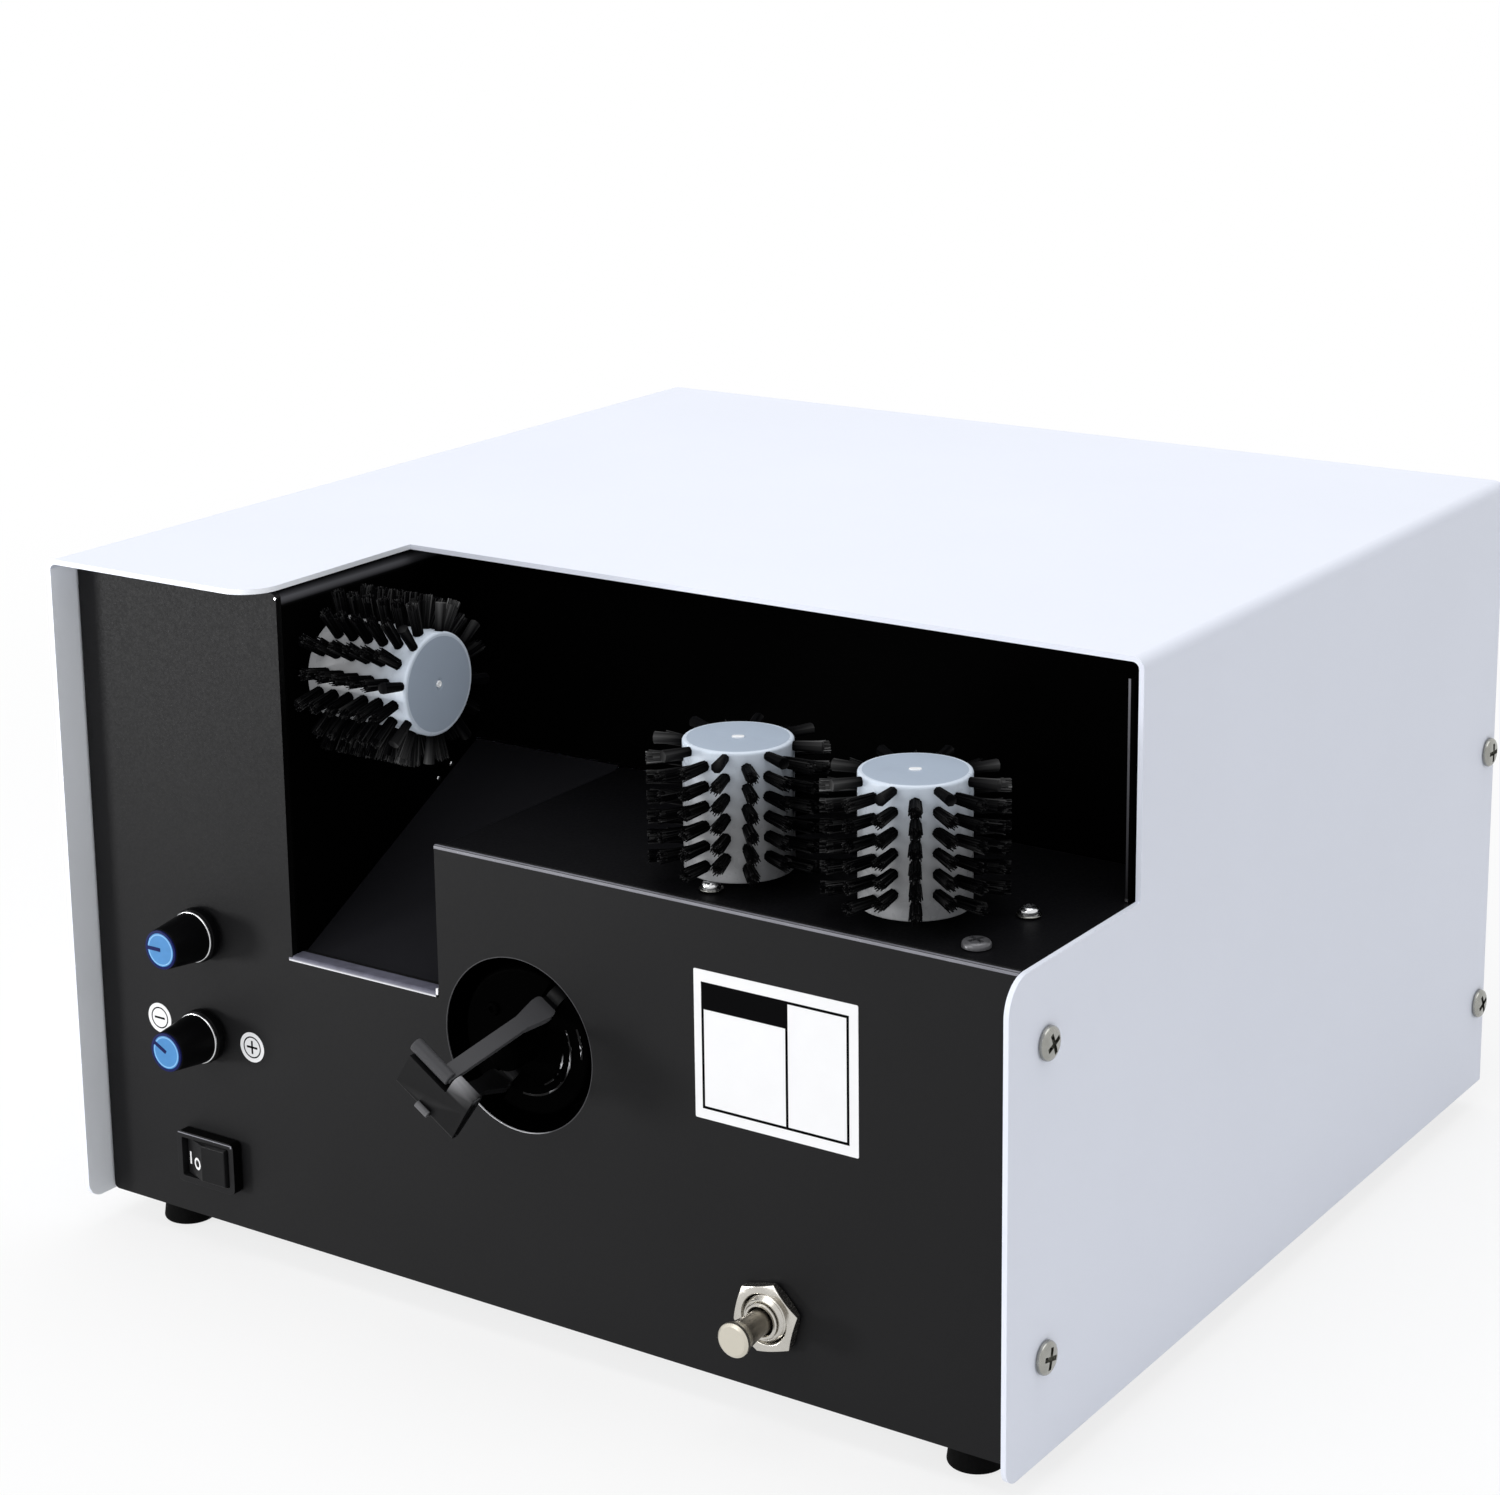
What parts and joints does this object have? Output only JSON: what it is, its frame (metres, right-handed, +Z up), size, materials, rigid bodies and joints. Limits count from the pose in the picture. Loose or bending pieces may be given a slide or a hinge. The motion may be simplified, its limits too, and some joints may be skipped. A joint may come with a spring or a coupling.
{
  "type": "cable braid brushing and twisting machine",
  "caption": "Desktop machine with rotating bristle brushes in an open stepped bay and a twisting head with lever jaws, in a folded sheet housing.",
  "frame": {"origin": "middle of the machine's overall footprint, on the surface that its feet stand on", "axes": "+X to the right along the front panel, +Y from the front panel to the rear panel, +Z up"},
  "size_m": [0.3056, 0.3198, 0.1955],
  "materials": {
    "white_powder_coat": "smooth powder coat",
    "black_powder_coat": "fine matt powder coat",
    "zinc_plate": "zinc plated",
    "bright_steel": "polished and plated",
    "plain_steel": "turned",
    "black_oxide_steel": "black oxide",
    "brass": "machined",
    "natural_nylon": "translucent, satin",
    "bristle_nylon": "stiff black filament",
    "foot_rubber": "moulded",
    "black_plastic": "moulded",
    "aluminium": "bare sheet case"
  },
  "bodies": {
    "housing": {"cover": "white_powder_coat", "cover_screw_left_front_low": "bright_steel", "cover_screw_left_front_high": "bright_steel", "cover_screw_left_rear_low": "bright_steel", "cover_screw_left_rear_high": "bright_steel", "cover_screw_right_front_low": "bright_steel", "cover_screw_right_front_high": "bright_steel", "cover_screw_right_rear_low": "bright_steel", "cover_screw_right_rear_high": "bright_steel", "front_panel": "black_powder_coat", "rear_panel": "black_powder_coat", "base_plate": "zinc_plate", "foot_front_left": "foot_rubber", "foot_front_right": "foot_rubber", "foot_rear_left": "foot_rubber", "foot_rear_right": "foot_rubber", "tower_wall": "black_powder_coat", "bay_liner": "black_powder_coat", "shelf_plate": "black_powder_coat", "chute_floor": "black_powder_coat", "shelf_screw_left_front": "bright_steel", "shelf_screw_left_rear": "bright_steel", "shelf_screw_right_front": "black_oxide_steel", "shelf_screw_right_rear": "bright_steel", "gear_plate": "zinc_plate", "brush_motor": "zinc_plate", "side_brush_motor": "zinc_plate", "spindle_frame": "zinc_plate", "twist_motor": "zinc_plate", "solenoid": "black_oxide_steel", "potentiometer_upper": "zinc_plate", "potentiometer_lower": "zinc_plate", "rocker_housing": "black_plastic", "button_bush": "bright_steel", "button_nut": "bright_steel", "power_inlet": "black_plastic", "power_supply": "aluminium"},
    "left_brush": {"brush_shaft_left": "plain_steel", "brush_hub_left": "natural_nylon", "bristles_left": "bristle_nylon"},
    "right_brush": {"brush_shaft_right": "plain_steel", "brush_hub_right": "natural_nylon", "bristles_right": "bristle_nylon"},
    "side_brush": {"brush_shaft_side": "plain_steel", "brush_hub_side": "natural_nylon", "bristles_side": "bristle_nylon"},
    "first_idler": {"idler_gear_1": "brass"},
    "second_idler": {"idler_gear_2": "brass"},
    "spindle": {"spindle": "black_oxide_steel", "spindle_gear": "plain_steel"},
    "motor_pinion": {"motor_pinion": "brass"},
    "upper_jaw": {"upper_jaw": "black_oxide_steel"},
    "lower_jaw": {"lower_jaw": "black_oxide_steel"},
    "push_rod": {"push_rod": "plain_steel"},
    "plunger": {"solenoid_plunger": "plain_steel"},
    "upper_knob": {"knob_upper": "black_plastic"},
    "lower_knob": {"knob_lower": "black_plastic"},
    "rocker": {"rocker": "black_plastic"},
    "push_button": {"button_plunger": "bright_steel"}
  },
  "joints": [
    {"name": "left_brush_spin", "type": "hinge", "parent": "housing", "child": "left_brush", "pos_m": [0.0556, -0.10315, 0.123], "axis": [0, 0, 1], "continuous": true},
    {"name": "first_idler_spin", "type": "hinge", "parent": "housing", "child": "first_idler", "pos_m": [0.0726, -0.10315, 0.123], "axis": [0, 0, 1], "continuous": true},
    {"name": "second_idler_spin", "type": "hinge", "parent": "housing", "child": "second_idler", "pos_m": [0.0896, -0.10315, 0.123], "axis": [0, 0, 1], "continuous": true},
    {"name": "right_brush_spin", "type": "hinge", "parent": "housing", "child": "right_brush", "pos_m": [0.1066, -0.10315, 0.123], "axis": [0, 0, 1], "continuous": true},
    {"name": "side_brush_spin", "type": "hinge", "parent": "housing", "child": "side_brush", "pos_m": [-0.056, -0.10315, 0.169], "axis": [1, 0, 0], "continuous": true},
    {"name": "spindle_spin", "type": "hinge", "parent": "housing", "child": "spindle", "pos_m": [0.001, -0.08415, 0.084], "axis": [0, 1, 0], "continuous": true},
    {"name": "pinion_spin", "type": "hinge", "parent": "housing", "child": "motor_pinion", "pos_m": [0.001, -0.06615, 0.054], "axis": [0, 1, 0], "continuous": true},
    {"name": "upper_jaw_open", "type": "hinge", "parent": "spindle", "child": "upper_jaw", "pos_m": [0.00926, -0.11785, 0.09652], "axis": [-0.8348, 0, 0.5505], "range_deg": [0, 12]},
    {"name": "lower_jaw_open", "type": "hinge", "parent": "spindle", "child": "lower_jaw", "pos_m": [-0.00726, -0.11785, 0.07148], "axis": [0.8348, 0, -0.5505], "range_deg": [0, 12]},
    {"name": "push_rod_slide", "type": "slide", "parent": "spindle", "child": "push_rod", "axis": [0, 1, 0], "range_m": [0, 0.003]},
    {"name": "plunger_slide", "type": "slide", "parent": "housing", "child": "plunger", "axis": [0, 1, 0], "range_m": [0, 0.003]},
    {"name": "upper_knob_turn", "type": "hinge", "parent": "housing", "child": "upper_knob", "pos_m": [-0.108, -0.13415, 0.0935], "axis": [0, 1, 0], "range_deg": [-60, 240]},
    {"name": "lower_knob_turn", "type": "hinge", "parent": "housing", "child": "lower_knob", "pos_m": [-0.108, -0.13415, 0.064], "axis": [0, 1, 0], "range_deg": [-75, 225]},
    {"name": "rocker_tilt", "type": "hinge", "parent": "housing", "child": "rocker", "pos_m": [-0.108, -0.12745, 0.027], "axis": [0, 0, 1], "range_deg": [0, 20]},
    {"name": "button_press", "type": "slide", "parent": "housing", "child": "push_button", "axis": [0, 1, 0], "range_m": [0, 0.003], "stiffness_N_per_m": 600}
  ],
  "couplings": [
    {"joint": "first_idler_spin", "follows": "left_brush_spin", "ratio": -1},
    {"joint": "second_idler_spin", "follows": "left_brush_spin", "ratio": 1},
    {"joint": "right_brush_spin", "follows": "left_brush_spin", "ratio": -1},
    {"joint": "pinion_spin", "follows": "spindle_spin", "ratio": -1.8571},
    {"joint": "lower_jaw_open", "follows": "upper_jaw_open", "ratio": 1},
    {"joint": "push_rod_slide", "follows": "upper_jaw_open", "m_per_rad": 0.01432},
    {"joint": "plunger_slide", "follows": "upper_jaw_open", "m_per_rad": 0.01432}
  ]
}
